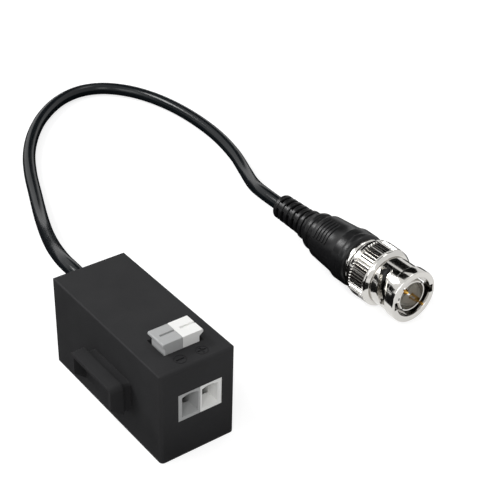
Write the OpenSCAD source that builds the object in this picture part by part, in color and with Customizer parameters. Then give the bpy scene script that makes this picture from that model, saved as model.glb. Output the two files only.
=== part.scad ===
// Passive video balun: a small black box with a two-pole push terminal on its front,
// a stacking rail on its left side, a matching slot on its right side, and a thin coax
// lead that ends in a bayonet plug. Millimetres, +Z up, front towards -Y.
// The origin is the centre of the housing's bottom face.

/* [Housing] */
// Width of the housing, side to side
body_w = 17.5; // [17.5:0.5:20]
// Length of the housing, front to rear
body_l = 40.7; // [40.7:0.5:46]
// Height of the housing without the buttons
body_h = 21.5; // [21.5:0.1:22.5]
// Thickness of the housing walls
wall = 1.5; // [1.4:0.1:1.6]
// Rounding of the front edges
front_r = 0.9; // [0.4:0.1:1.2]
// Rounding of the other edges
edge_r = 0.45; // [0.2:0.05:0.8]

/* [Stacking rail] */
// Length of the rail along the housing
rail_l = 15.6; // [15:0.2:16]
// Height of the rail from its feet to its top
rail_h = 7.4; // [6.8:0.1:7.6]
// Thickness of the rail's outer plate
rail_t = 3; // [2.8:0.1:3]
// Gap between the outer plate and the housing wall
rail_gap = 2.2; // [1.8:0.1:2.2]
// Rise of the rail's foot from its inner side to its outer face
rail_slope = 2.6; // [2:0.2:2.8]
// Height of the rail's feet above the base
rail_foot_z = 7; // [6:0.5:8]
// Thickness of the lip that holds a neighbour's rail
slot_lip = 0.8; // [0.6:0.1:0.8]

/* [Terminal] */
// Width of one terminal pole
pole_w = 5.05; // [4.8:0.05:5.1]
// Height of the terminal's nose in the front window
nose_h = 6.4; // [6:0.1:6.6]
// Height of the nose's lower edge above the base
nose_z = 8.95; // [8.9:0.05:9.2]
// Width of a wire entry at the front face
entry_w = 3.85; // [3.4:0.05:3.9]
// Height of a wire entry at the front face, to the top of its arch
entry_h = 5.2; // [4.8:0.1:5.3]
// How far a button can be pressed
button_travel = 1.4; // [1:0.1:1.4]
// How far the buttons stand above the housing
button_rise = 2.5; // [2.3:0.1:2.8]

/* [Plug] */
// Diameter over the nut's knurl
knurl_d = 14.5; // [14:0.1:14.6]
// Number of knurl teeth
knurl_n = 60; // [48:2:72]
// Length of the coupling nut
nut_l = 16.3; // [16:0.1:16.8]
// Outer diameter of the outer contact
contact_d = 8.1; // [8:0.05:8.2]
// Diameter of the plug moulding at its widest
moulding_d = 13.6; // [13:0.1:13.8]
// Number of ribs on the boot
rib_n = 6; // [5:1:6]

/* [Cord] */
// Diameter of the coax lead
cord_d = 3.5; // [3.3:0.1:3.6]

/* [Hidden] */
$fn = 48;
eps = 0.01;
fit = 0.05;

black = "#26262a";
pale_grey = "#b8bab9";
white = "#f4f4f2";
nickel = "#c9c9c6";
gold = "#d9b45a";
copper = "#b8693a";
board_green = "#1f6b45";

// Housing, worked out
half_w = body_w / 2;
half_l = body_l / 2;
front_y = -half_l;
inner_w = half_w - wall;
inner_l = half_l - wall;
roof_z = body_h - wall;

// Terminal, worked out: the pair sits a little right of the middle
term_x = 0.45;
pole_gap = 0.05;
window_w = 2 * pole_w + pole_gap + 2 * fit;
nose_top = nose_z + nose_h;
term_base_z = 6.65;
term_shoulder_y = front_y + wall + fit;
term_low_rear_y = front_y + 8.45;
term_rear_y = front_y + 11.25;
term_step_z = 15.6;
entry_z = nose_z + 0.75;
entry_shift = 0.22;
entry_arch = 0.45;
throat_w = 3.3;
throat_h = 4.4;
throat_y = front_y + 3.1;
cavity_w = 3.4;
cavity_y = [throat_y - eps, front_y + 7.4];
cavity_z = [8.2, 14.6];
pin_hole_w = 1.1;
well_play = 0.07;

// Buttons, worked out
button_top = body_h + button_rise;
button_front_y = front_y + 5.5;
plate_l = 5.45;
plate_t = 1.1;
stem_l = 4.8;
foot_l = 1.65;
stem_foot_z = 17.6;
foot_z = 14.4;
foot_w = 3.2;
plate_edge = 0.15;
plate_slope_z = 0.6;
button_seam_x = 0.2;
seam_gap = 0.03;
stem_left_x = -3.9;
stem_right_x = 4.05;
plate_left_x = -4.4;
plate_right_x = 4.95;
aperture_x = [-4.25, 5.05];
aperture_y = [button_front_y - 0.1, button_front_y + 5.85];
slot_w = 0.5;
slot_deep = 0.5;
slot_y = button_front_y + 2.9;
slot_in = 1.15;

// Contact bars, worked out
bar_z = [cavity_z[0] + 0.05, cavity_z[0] + 0.55];
bar_bump = 0.35;
bar_bump_w = 0.4;
bar_lip_z = 10.2;
bar_side = 0.15;
clamp_w = 2.8;
clamp_t = 0.3;
clamp_back = 0.85;

// Rail and slot, worked out
rail_y = [-10.6, rail_l - 10.6];
rail_top = rail_foot_z + rail_h;
rail_front_leg = 0.9;
rail_rear_leg = 1.7;
rail_bar = 0.8;
rail_web = 0.4;
rail_round = 1.2;
neck_in = 0.9;
slot_play = 0.15;
slot_depth = slot_lip + rail_t + slot_play;
slot_wall = 0.75;

// Board, posts and hooks
cover_t = 1.6;
board_z = 5.4;
board_t = 1.2;
board_x = [-6.1, half_w - slot_depth - slot_wall - 0.15];
board_y = [-18.2, 17.5];
board_top = board_z + board_t;
pin_y = front_y + 5.25;
pin_w = 0.8;
post_x = [-4.7, 2.7];
post_y = [-12, 14.6];
post_r = 1.1;
post_pin_r = 0.6;
hook_y = [-15, 13];
hook_w = 3;
hook_t = 0.9;
hook_bead = 0.35;
hook_z = 3.4;
hook_play = 0.2;

// Rear gland
gland_z = 16.2;
gland_r = 3.6;
gland_l = 2;
gland_soft = 0.9;
gland_neck_r = 3;
gland_flange_r = 3.6;
gland_y = half_l + gland_l;

// Parts on the board
tube_r = 2;
tube_l = 5.4;
tube_at = [-3.2, 9.6];
film_x = [-3.6, 2.6];
film_y = [-7.6, -5.2];
film_h = 4.6;
chip_n = 4;
chip_pitch = 2.1;
chip_at = [-4, -1];
chip_size = [0.8, 1.6, 0.55];

// Transformer core
core_at = [-1, 1.5];
core_r = [2.4, 4.4];
core_z = [7.2, 10.6];
turn_n = 7;
turn_wire = 0.4;
turn_pitch = 20;

// Inner leads of the coax
lead_bend = 3;
lead_y = half_l - 3.15;
lead_run = 1.4;

// Plug, worked out: its axis lies along Y and its mouth faces -Y
plug_x = 63.5;
plug_z = knurl_d / 2 + fit;
mouth_y = -14;
nut_bore_r = 4.95;
nut_sleeve_r = 6.05;
nut_collar_r = 6.5;
nut_back_r = 6.15;
nut_edge = 0.3;
collar_l = 2.8;
grip_u = [8.3, 15.6];
grip_chamfer = [0.7, 0.5];
knurl_u = [9.5, 14.2];
knurl_deep = 0.36;
knurl_rim = 0.2;
shaft_r = 4.3;
shaft_play = 0.06;
flange_u = [8, 9.6];
flange_r = 4.75;
contact_r = contact_d / 2;
contact_bore_r = 3.5;
contact_tip_u = 0.7;
contact_slot_w = 0.4;
contact_slot_u = 5.2;
contact_slot_turn = 45;
shell_tail_r = 2.6;
shell_step_u = 9;
shell_tail_u = 24;
gasket_u = [6.9, 8];
gasket_seat = 0.2;
insulator_u = [5.4, 20];
pin_r = 0.68;
pin_tip_r = 0.25;
pin_u = [1.9, 19.5];
coax_core_r = 0.95;
ferrule_r = 2.5;
ferrule_u = [20.1, 28.5];
washer_t = 0.4;
spring_t = 0.3;
spring_play = 0.02;
spring_waves = 3;
spring_steps = 48;
nut_travel = 1;
lip_u = flange_u[1] + nut_travel + 2 * spring_t + washer_t;
ring_u = [nut_l + 0.1, 17.3];
ring_r = 6.1;
ring_edge = 0.2;
slot_r = 1.05;
slot_end_r = 1.3;
slot_channel_r = 5.75;
slot_turn = 60;
slot_starts = [-5, 175];
slot_start_u = 3.9;
slot_end_u = 6.3;
slot_steps = 5;

// Moulding and boot, worked out
moulding_u = ring_u[1];
wide_r = moulding_d / 2;
kink_u = moulding_u + 5.6;
kink_run = 1.3;
kink_r = wide_r - 0.5;
shoulder_u = moulding_u + 14.1;
shoulder_r = 5.6;
shoulder_soft = 1.4;
front_soft = 1.1;
groove_r = 4.6;
bell_u = [32.9, 36.4];
bell_r = 4.9;
bell_small_r = 3.75;
bell_lip = 0.35;
rib_pitch = 2.06;
rib_first = 0.15;
rib_r = 3.5;
rib_taper = 0.06;
rib_collar_r = 3.85;
rib_w = 1.2;
rib_soft = 0.3;
bridge_w = 2.4;
bridge_x = [0.9, 2.8];
boot_core_r = 2.25;
ridge_n = 5;
ridge_pitch = 1.05;
ridge_w = 0.44;
ridge_rise = 0.22;
ridge_half = 3;
ridge_in = 2.6;
ferrule_bore_r = ferrule_r + 0.02;
ferrule_bore_u = ferrule_u[1] + 0.7;
plug_l = bell_u[1] + rib_first + rib_pitch * (rib_n - 1) + rib_w + 0.05;
tail_y = mouth_y + plug_l;

// Route of the cord's centre line, from the gland to the boot; low is its height on a table
low = cord_d / 2;
cord_route = [
    [0, gland_y, gland_z], [0.2, 28, 16], [1, 33.5, 15], [3.4, 41.5, 12.4], [6.8, 50.5, 8.8],
    [10.8, 60.5, 5.2], [15, 71, 2.9], [19.5, 82, low + 0.2], [24, 93, low], [29, 103, low],
    [35.5, 112.5, low], [43, 120.5, low], [51.5, 126.5, low], [59.5, 128.8, low],
    [66.5, 127, low], [72, 121.5, low], [75.8, 113.5, low], [78, 103.5, low],
    [78.6, 92.5, low], [77.8, 81.5, low], [75.4, 70.5, low + 0.1], [71.6, 60.5, 2.5],
    [67.4, 51.5, 4.4], [64.4, 43.5, 6.6], [plug_x, tail_y, plug_z]
];
cord_sides = 8;
cord_ring_step = 0.35;

// A block between two corners
module block(low, high) {
    translate(low) cube(high - low);
}

// A rectangle with one corner radius along its -Y side and another along its +Y side
module rounded_plan(x, y, r_low, r_high) {
    for (s = [-1, 1]) {
        ex = s < 0 ? x[0] : x[1];
        translate([ex - s * r_low, y[0] + r_low]) circle(r_low);
        translate([ex - s * r_high, y[1] - r_high]) circle(r_high);
    }
    polygon([
        [x[0] + r_low, y[0]], [x[1] - r_low, y[0]], [x[1], y[0] + r_low],
        [x[1], y[1] - r_high], [x[1] - r_high, y[1]], [x[0] + r_high, y[1]],
        [x[0], y[1] - r_high], [x[0], y[0] + r_low]
    ]);
}

// Extrude a profile drawn in Y and Z along X
module along_x(x0, x1) {
    translate([x0, 0, 0]) rotate([90, 0, 90]) linear_extrude(x1 - x0) children();
}

// Extrude a profile drawn in X and Z along Y
module along_y(y0, y1) {
    translate([0, y1, 0]) rotate([90, 0, 0]) linear_extrude(y1 - y0) children();
}

// Set a revolved piece on the plug's axis, its height measured from the mouth
module on_plug() {
    translate([plug_x, mouth_y, plug_z]) rotate([-90, 0, 0]) children();
}

// A ring between two radii and two distances from the mouth
module ring(r_in, r_out, u0, u1) {
    rotate_extrude() translate([r_in, u0]) square([r_out - r_in, u1 - u0]);
}

// Centre of one pole; side is -1 for minus and 1 for plus
function pole_x(side) = term_x + side * (pole_w + pole_gap) / 2;

// The housing's outer form: rounded corners in plan, in side view and in end view
module housing_block() {
    intersection() {
        linear_extrude(body_h)
            rounded_plan([-half_w, half_w], [-half_l, half_l], front_r, edge_r);
        along_x(-half_w - 1, half_w + 1) union() {
            housing_side_profile();
        }
        along_y(-half_l - 1, half_l + 1) union() {
            translate([-half_w, 0]) square([body_w, body_h - edge_r]);
            translate([-half_w + edge_r, 0]) square([body_w - 2 * edge_r, body_h]);
            for (s = [-1, 1]) translate([s * (half_w - edge_r), body_h - edge_r]) circle(edge_r);
        }
    }
}

// Side view of the housing, with its rounded top front edge
module housing_side_profile() {
    translate([-half_l, 0]) square([body_l, body_h - front_r]);
    translate([-half_l + front_r, 0]) square([body_l - front_r - edge_r, body_h]);
    translate([-half_l + front_r, body_h - front_r]) circle(front_r);
    translate([half_l - edge_r, body_h - front_r]) square([edge_r, front_r - edge_r]);
    translate([half_l - edge_r, body_h - edge_r]) circle(edge_r);
}

// Side view of the rail, round at its top corners; inset makes the neck smaller than the plate
module rail_profile(inset) {
    y0 = rail_y[0] + inset;
    y1 = rail_y[1] - inset;
    top = rail_top - inset;
    r = rail_round - inset / 2;
    translate([y0, rail_foot_z]) square([y1 - y0, top - r - rail_foot_z]);
    translate([y0 + r, top - r - eps]) square([y1 - y0 - 2 * r, r + eps]);
    translate([y0 + r, top - r]) circle(r);
    translate([y1 - r, top - r]) circle(r);
}

// The rail: a thick outer plate, hollowed to an upside-down U, on a smaller solid neck
module stacking_rail() {
    neck_x = -half_w - rail_gap;
    outer_x = neck_x - rail_t;
    difference() {
        along_x(outer_x, neck_x) union() rail_profile(0);
        // Hollow of the outer plate, open below
        block(
            [outer_x - 1, rail_y[0] + rail_front_leg, rail_foot_z - 1],
            [neck_x - rail_web, rail_y[1] - rail_rear_leg, rail_top - rail_bar]
        );
        // Foot that rises towards the outer face
        along_y(rail_y[0] - 1, rail_y[1] + 1) polygon([
            [neck_x, rail_foot_z - 1], [neck_x, rail_foot_z],
            [outer_x, rail_foot_z + rail_slope], [outer_x - 1, rail_foot_z + rail_slope],
            [outer_x - 1, rail_foot_z - 1]
        ]);
    }
    along_x(neck_x - rail_web / 2, -half_w + 0.5) union() rail_profile(neck_in);
}

// The space that a neighbour's rail slides into: lip opening, then the wider plate pocket
module stacking_slot() {
    lip_x = half_w - slot_lip;
    neck = neck_in - slot_play - fit;
    block(
        [lip_x - eps, rail_y[0] + neck, -1], [half_w + 1, rail_y[1] - neck, rail_top - neck]
    );
    block(
        [half_w - slot_depth, rail_y[0] - slot_play, -1],
        [lip_x, rail_y[1] + slot_play, rail_top + slot_play]
    );
}

module slot_casing() {
    block(
        [half_w - slot_depth - slot_wall, rail_y[0] - slot_play - slot_wall, 0],
        [inner_w + eps, rail_y[1] + slot_play + slot_wall, rail_top + slot_play + slot_wall]
    );
}

module housing_shell() color(black) {
    hook_pocket_x = inner_w + hook_bead + 0.1;
    difference() {
        union() {
            difference() {
                housing_block();
                block([-inner_w, -inner_l, -1], [inner_w, inner_l, roof_z]);
            }
            slot_casing();
            stacking_rail();
        }
        stacking_slot();
        // Front window for the terminal
        block(
            [term_x - window_w / 2, front_y - 1, nose_z - fit],
            [term_x + window_w / 2, front_y + wall + 1, nose_top + fit]
        );
        // Top opening for the buttons
        block(
            [aperture_x[0], aperture_y[0], roof_z - 1],
            [aperture_x[1], aperture_y[1], body_h + 1]
        );
        // Rear hole for the gland
        translate([0, half_l + 1, gland_z]) rotate([90, 0, 0])
            cylinder(r = gland_neck_r + fit, h = wall + 2);
        // Pockets for the cover's hooks
        for (y = hook_y, s = [-1, 1])
            block(
                [s < 0 ? -hook_pocket_x : inner_w - eps, y - hook_w / 2 - hook_play, hook_z - 0.4],
                [s < 0 ? -inner_w + eps : hook_pocket_x, y + hook_w / 2 + hook_play, hook_z + 1]
            );
    }
}

module cover_hook(y, s) {
    x0 = s * (inner_w - fit);
    x1 = x0 - s * hook_t;
    translate([0, y + hook_w / 2, 0]) rotate([90, 0, 0]) linear_extrude(hook_w)
        polygon([
            [x1, cover_t - 0.5], [x0, cover_t - 0.5], [x0, hook_z - 0.1],
            [x0 + s * hook_bead, hook_z + 0.1], [x0 + s * hook_bead, hook_z + 0.3],
            [x0, hook_z + 0.9], [x1, hook_z + 0.9]
        ]);
}

module bottom_cover() color(black) {
    difference() {
        block([-inner_w + fit, -inner_l + fit, 0], [inner_w - fit, inner_l - fit, cover_t]);
        // Notch that leaves room for the slot casing
        block(
            [half_w - slot_depth - slot_wall - fit, rail_y[0] - slot_play - slot_wall - fit, -1],
            [inner_w + 1, rail_y[1] + slot_play + slot_wall + fit, cover_t + 1]
        );
    }
    for (y = hook_y, s = [-1, 1]) cover_hook(y, s);
    // Posts that carry the board, each with a locating pin
    for (x = post_x, y = post_y) translate([x, y, cover_t - eps]) {
        cylinder(r = post_r, h = board_z - cover_t + eps);
        cylinder(r = post_pin_r, h = board_top - 0.1 - cover_t + eps);
    }
}

// The wire entry: a funnel with a low arched top that narrows towards the clamp
module wire_funnel(x) {
    entry_top = entry_z + entry_h;
    arch_r = (entry_w * entry_w / 4 + entry_arch * entry_arch) / (2 * entry_arch);
    mid_z = entry_z + 2.6;
    intersection() {
        translate([x, 0, 0]) linear_extrude(body_h) polygon([
            [-entry_w / 2, front_y - eps], [entry_w / 2, front_y - eps],
            [throat_w / 2, throat_y], [-throat_w / 2, throat_y]
        ]);
        along_x(x - entry_w, x + entry_w) polygon([
            [front_y - eps, entry_z], [throat_y, mid_z - throat_h / 2],
            [throat_y, mid_z + throat_h / 2], [front_y - eps, entry_top]
        ]);
        translate([x, throat_y, entry_top - arch_r]) rotate([90, 0, 0])
            cylinder(r = arch_r, h = 6);
    }
}

module terminal(side) {
    x0 = pole_x(side) - pole_w / 2;
    x1 = pole_x(side) + pole_w / 2;
    cx = pole_x(side) - side * entry_shift;
    well_x = [side < 0 ? stem_left_x - fit : x0 - 1, side < 0 ? x1 + 1 : stem_right_x + fit];
    well_front = button_front_y - well_play;
    difference() {
        along_x(x0, x1) polygon([
            [front_y, nose_z], [front_y, nose_top], [term_shoulder_y, nose_top],
            [term_shoulder_y, roof_z - 0.1], [term_rear_y, roof_z - 0.1],
            [term_rear_y, term_step_z], [term_low_rear_y, term_step_z],
            [term_low_rear_y, term_base_z], [term_shoulder_y, term_base_z],
            [term_shoulder_y, nose_z]
        ]);
        wire_funnel(cx);
        block(
            [cx - cavity_w / 2, cavity_y[0], cavity_z[0]],
            [cx + cavity_w / 2, cavity_y[1], cavity_z[1]]
        );
        // Well for the button's foot, open to the clamp
        block(
            [well_x[0], well_front, cavity_z[1] - fit],
            [well_x[1], button_front_y + foot_l + well_play, roof_z + 1]
        );
        // Wider upper part of the well
        block(
            [well_x[0], well_front, stem_foot_z - button_travel - fit],
            [well_x[1], button_front_y + stem_l + fit, roof_z + 1]
        );
        // Hole for the solder pin
        block(
            [cx - pin_hole_w / 2, pin_y - pin_hole_w / 2, term_base_z - 1],
            [cx + pin_hole_w / 2, pin_y + pin_hole_w / 2, cavity_z[0] + 1]
        );
    }
}

module terminal_minus() color(pale_grey) terminal(-1);

module terminal_plus() color(white) terminal(1);

// A push lever: the plate overhangs its stem, and its top has a screwdriver slot
module button(side) {
    seam = button_seam_x + side * seam_gap;
    outer = side < 0 ? plate_left_x : plate_right_x;
    stem_outer = side < 0 ? stem_left_x : stem_right_x;
    stem_x = [min(seam, stem_outer), max(seam, stem_outer)];
    cx = pole_x(side) - side * entry_shift;
    foot_x = [max(stem_x[0] + 0.1, cx - foot_w / 2), min(stem_x[1] - fit, cx + foot_w / 2)];
    under_z = button_top - plate_t - 0.2;
    slot_x0 = min(seam, outer) + slot_in;
    slot_x1 = max(seam, outer) + 1;
    difference() {
        union() {
            along_y(button_front_y, button_front_y + plate_l) polygon([
                [seam, button_top], [outer - side * plate_edge, button_top],
                [outer, button_top - plate_edge], [outer, button_top - plate_slope_z],
                [stem_outer, under_z], [seam, under_z]
            ]);
            block(
                [stem_x[0], button_front_y, stem_foot_z],
                [stem_x[1], button_front_y + stem_l, button_top - plate_t]
            );
            block(
                [foot_x[0], button_front_y, foot_z],
                [foot_x[1], button_front_y + foot_l, stem_foot_z + eps]
            );
        }
        block(
            [slot_x0, slot_y - slot_w / 2, button_top - slot_deep],
            [slot_x1, slot_y + slot_w / 2, button_top + 1]
        );
    }
}

module button_minus() color(pale_grey) button(-1);

module button_plus() color(white) button(1);

// A bent strip: the outline of a centre line p, t thick
function side_dir(p, i) = let (
    a = p[max(i - 1, 0)], b = p[min(i + 1, len(p) - 1)], d = b - a
) [-d[1], d[0]] / norm(d);
function strip(p, t) = concat(
    [for (i = [0:len(p) - 1]) p[i] + side_dir(p, i) * t / 2],
    [for (i = [len(p) - 1:-1:0]) p[i] - side_dir(p, i) * t / 2]
);

module contact_bar(side) {
    cx = pole_x(side) - side * entry_shift;
    half_bar = cavity_w / 2 - bar_side;
    bar_y = [cavity_y[0] + 0.2, cavity_y[1] - 0.1];
    bar_t = bar_z[1] - bar_z[0];
    bump_y = bar_y[0] + 1;
    along_x(cx - half_bar, cx + half_bar) polygon([
        [bar_y[0], bar_z[0]], [bar_y[1], bar_z[0]], [bar_y[1], bar_lip_z],
        [bar_y[1] - bar_t, bar_lip_z], [bar_y[1] - bar_t, bar_z[1]],
        [bump_y + bar_bump_w, bar_z[1]], [bump_y, bar_z[1] + bar_bump],
        [bump_y - bar_bump_w, bar_z[1]], [bar_y[0], bar_z[1]]
    ]);
    block(
        [cx - pin_w / 2, pin_y - pin_w / 2, board_z - pin_w],
        [cx + pin_w / 2, pin_y + pin_w / 2, bar_z[0] + bar_t / 2]
    );
}

module contact_minus() color(nickel) contact_bar(-1);

module contact_plus() color(nickel) contact_bar(1);

module clamp_spring(side) {
    cx = pole_x(side) - side * entry_shift;
    rear = cavity_y[1] - clamp_back;
    along_x(cx - clamp_w / 2, cx + clamp_w / 2) polygon(strip([
        [rear, bar_z[1] + 0.2], [rear + 0.05, 11], [rear, 13.2], [rear - 0.35, 13.75],
        [rear - 1, 13.95], [rear - 2.6, 14.1], [rear - 3.1, 13.9], [rear - 3.2, 13.4],
        [rear - 2.4, 10.2]
    ], clamp_t));
}

module clamp_spring_minus() color(nickel) clamp_spring(-1);

module clamp_spring_plus() color(nickel) clamp_spring(1);

module circuit_board() color(board_green) {
    difference() {
        block([board_x[0], board_y[0], board_z], [board_x[1], board_y[1], board_top]);
        for (s = [-1, 1]) translate([pole_x(s) - s * entry_shift, pin_y, 0])
            cylinder(r = 0.65, h = 10);
        for (x = post_x, y = post_y) translate([x, y, 0]) cylinder(r = post_pin_r + fit, h = 10);
    }
}

module ferrite_core() color("#3a3a3d") {
    translate([core_at[0], core_at[1], 0]) ring(core_r[0], core_r[1], core_z[0], core_z[1]);
}

// Turns of wire round one side of the core, each a flat loop
module winding(start) {
    r0 = core_r[0] - 0.05;
    r1 = core_r[1] + 0.05;
    z0 = core_z[0] - 0.05;
    z1 = core_z[1] + 0.05;
    for (i = [0:turn_n - 1])
        translate([core_at[0], core_at[1], 0]) rotate([0, 0, start + i * turn_pitch])
            difference() {
                block(
                    [r0 - turn_wire, -turn_wire / 2, z0 - turn_wire],
                    [r1 + turn_wire, turn_wire / 2, z1 + turn_wire]
                );
                block([r0, -1, z0], [r1, 1, z1]);
            }
}

module winding_line() color(copper) winding(30);

module winding_coax() color("#9a4030") winding(210);

module surge_suppressor() color("#2a5fa8") {
    translate([tube_at[0], tube_at[1], board_top + tube_r + 0.1]) rotate([0, 90, 0])
        cylinder(r = tube_r, h = tube_l);
}

module film_capacitor() color("#a33a2c") {
    block([film_x[0], film_y[0], board_top + 0.05], [film_x[1], film_y[1], board_top + film_h]);
}

module chip_parts() color("#c8b98e") {
    for (i = [0:chip_n - 1])
        translate([chip_at[0] + i * chip_pitch, chip_at[1], board_z - chip_size[2]])
            cube(chip_size);
}

// One inner lead of the coax: out of the gland, round a bend and down to the board
module inner_lead(x, r) {
    bend_y = lead_y - lead_run;
    translate([x, lead_y, gland_z]) rotate([90, 0, 0]) cylinder(r = r, h = lead_run);
    translate([x, bend_y, gland_z - lead_bend]) rotate([0, -90, 0]) rotate([0, 0, -90])
        rotate_extrude(angle = 90) translate([lead_bend, 0]) circle(r);
    translate([x, bend_y - lead_bend, board_top + 0.02])
        cylinder(r = r, h = gland_z - lead_bend - board_top - 0.02);
}

module core_lead() color(white) inner_lead(-1.1, 0.5);

module shield_lead() color(copper) inner_lead(1.1, 0.45);

// Strain relief: a flange inside the rear wall, a neck through it and a round boss outside
module cord_gland() color(black) {
    translate([0, lead_y, gland_z]) rotate([-90, 0, 0]) rotate_extrude() {
        flange_l = inner_l - fit - lead_y;
        boss_u = half_l + 0.02 - lead_y;
        end_u = gland_y - lead_y;
        square([gland_flange_r, flange_l]);
        square([gland_neck_r, boss_u + 0.5]);
        translate([0, boss_u]) square([gland_r, end_u - gland_soft - boss_u]);
        translate([0, end_u - gland_soft]) square([gland_r - gland_soft, gland_soft]);
        shoulder(gland_r, gland_soft, end_u);
    }
}

// Faces between rings of points; a closed loft joins its last ring to its first
function loft_faces(n, sides, closed) = [
    for (i = [0:n - (closed ? 1 : 2)], k = [0:sides - 1])
        let (j = (i + 1) % n, m = (k + 1) % sides)
            [i * sides + k, i * sides + m, j * sides + m, j * sides + k]
];

// The cord is a tube swept along a smooth curve through the route's points
function knot(i) = cord_route[max(0, min(i, len(cord_route) - 1))];
function curve_at(i, t) = let (
    a = knot(i - 1), b = knot(i), c = knot(i + 1), d = knot(i + 2),
    m0 = (c - a) / 2, m1 = (d - b) / 2
) (2 * t * t * t - 3 * t * t + 1) * b + (t * t * t - 2 * t * t + t) * m0
    + (3 * t * t - 2 * t * t * t) * c + (t * t * t - t * t) * m1;
cord_points = concat(
    [for (i = [0:len(cord_route) - 2], t = [0:cord_ring_step:0.99]) curve_at(i, t)],
    [cord_route[len(cord_route) - 1]]
);
function unit(v) = v / norm(v);
function cord_dir(i) = i == 0 || i == len(cord_points) - 1
    ? [0, i == 0 ? 1 : -1, 0]
    : unit(cord_points[i + 1] - cord_points[i - 1]);
function cord_ring(i) = let (
    d = cord_dir(i), u = unit(cross(d, [0, 0, 1])), v = cross(u, d)
) [for (k = [0:cord_sides - 1]) let (a = (k + 0.5) * 360 / cord_sides)
    cord_points[i] + cord_d / 2 * (cos(a) * u + sin(a) * v)];

module coax_cord() color(black) {
    n = len(cord_points);
    rings = [for (i = [0:n - 1]) each cord_ring(i)];
    sides = loft_faces(n, cord_sides, false);
    first = [for (k = [cord_sides - 1:-1:0]) k];
    last = [for (k = [0:cord_sides - 1]) (n - 1) * cord_sides + k];
    polyhedron(rings, concat([first], sides, [last]));
}

// One J slot: an entry channel inside the collar, a ramp in short straight runs, a round end
module j_slot(turn) {
    rise = slot_end_u - slot_start_u;
    run = nut_sleeve_r * slot_turn * PI / 180;
    slope = atan(rise / run);
    seg_l = norm([run, rise]) / slot_steps + 0.9;
    rotate([0, 0, turn]) {
        intersection() {
            translate([0, 0, -1]) cylinder(r = slot_channel_r, h = slot_start_u + 1 + slot_r);
            translate([0, -slot_r, -1]) cube([10, 2 * slot_r, slot_start_u + 1 + slot_r]);
        }
        for (i = [0:slot_steps - 1]) {
            f = (i + 0.5) / slot_steps;
            rotate([0, 0, f * slot_turn]) translate([0, 0, slot_start_u + f * rise])
                rotate([slope, 0, 0]) translate([3, -seg_l / 2, -slot_r]) cube([7, seg_l, 2 * slot_r]);
        }
        rotate([0, 0, slot_turn]) translate([0, 0, slot_end_u]) rotate([0, 90, 0])
            cylinder(r = slot_end_r, h = 10);
    }
}

// The nut's turned form: collar, sleeve, and a rim on each side of the knurl
module nut_turning() {
    rim_r = knurl_d / 2 - knurl_rim;
    inner_r = nut_bore_r - 1;
    rotate_extrude() polygon([
        [inner_r, 0], [nut_collar_r - nut_edge, 0], [nut_collar_r, nut_edge],
        [nut_collar_r, collar_l - nut_edge], [nut_sleeve_r, collar_l], [nut_sleeve_r, grip_u[0]],
        [rim_r - grip_chamfer[0], grip_u[0]], [rim_r, grip_u[0] + grip_chamfer[0]],
        [rim_r, grip_u[1] - grip_chamfer[1]], [rim_r - grip_chamfer[1], grip_u[1]],
        [nut_back_r, nut_l], [inner_r, nut_l]
    ]);
}

// Straight knurl: teeth all round, deep enough to catch the light
module knurl_bar() {
    tip_r = knurl_d / 2;
    translate([0, 0, knurl_u[0]]) linear_extrude(knurl_u[1] - knurl_u[0])
        difference() {
            polygon([
                for (i = [0:2 * knurl_n - 1])
                    let (a = 180 * i / knurl_n, q = i % 2 == 0 ? tip_r : tip_r - knurl_deep)
                        [q * cos(a), q * sin(a)]
            ]);
            circle(nut_bore_r + 0.5);
        }
}

module coupling_nut() color(nickel) {
    on_plug() difference() {
        union() {
            nut_turning();
            knurl_bar();
        }
        translate([0, 0, -1]) cylinder(r = nut_bore_r, h = lip_u + 1);
        translate([0, 0, -1]) cylinder(r = shaft_r + shaft_play, h = nut_l + 2);
        for (turn = slot_starts) j_slot(turn);
    }
}

module thrust_washer() color(nickel) {
    on_plug() ring(shaft_r + 0.1, nut_bore_r - 0.1, lip_u - washer_t, lip_u);
}

// A flat ring bent into waves; it pushes the nut back against the flange
module wave_spring() color(nickel) {
    low = flange_u[1] + spring_play;
    high = lip_u - washer_t - spring_play;
    wave = (high - low - spring_t) / 2;
    section = [
        [shaft_r + 0.12, -spring_t / 2], [nut_bore_r - 0.12, -spring_t / 2],
        [nut_bore_r - 0.12, spring_t / 2], [shaft_r + 0.12, spring_t / 2]
    ];
    points = [for (i = [0:spring_steps - 1], p = section) let (a = 360 * i / spring_steps)
        [p[0] * cos(a), p[0] * sin(a), (low + high) / 2 + wave * cos(spring_waves * a) + p[1]]];
    on_plug() polyhedron(points, loft_faces(spring_steps, len(section), true));
}

module front_gasket() color("#4a4a4c") {
    on_plug() ring(contact_r - gasket_seat + 0.02, flange_r, gasket_u[0], gasket_u[1]);
}

// Metal body of the plug: slotted outer contact, gasket seat, flange, shaft and tail
module plug_shell() color(nickel) {
    seat_r = contact_r - gasket_seat;
    on_plug() difference() {
        rotate_extrude() polygon([
            [contact_bore_r, contact_tip_u], [contact_r - 0.25, contact_tip_u],
            [contact_r, contact_tip_u + 0.3], [contact_r, gasket_u[0]],
            [seat_r, gasket_u[0]], [seat_r, flange_u[0]], [flange_r, flange_u[0]],
            [flange_r, flange_u[1]], [shaft_r, flange_u[1]],
            [shaft_r, shell_tail_u], [shell_tail_r, shell_tail_u],
            [shell_tail_r, shell_step_u], [contact_bore_r, shell_step_u]
        ]);
        for (a = [1, 3]) rotate([0, 0, a * contact_slot_turn])
            translate([-10, -contact_slot_w / 2, -1]) cube([20, contact_slot_w, contact_slot_u + 1]);
    }
}

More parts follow.
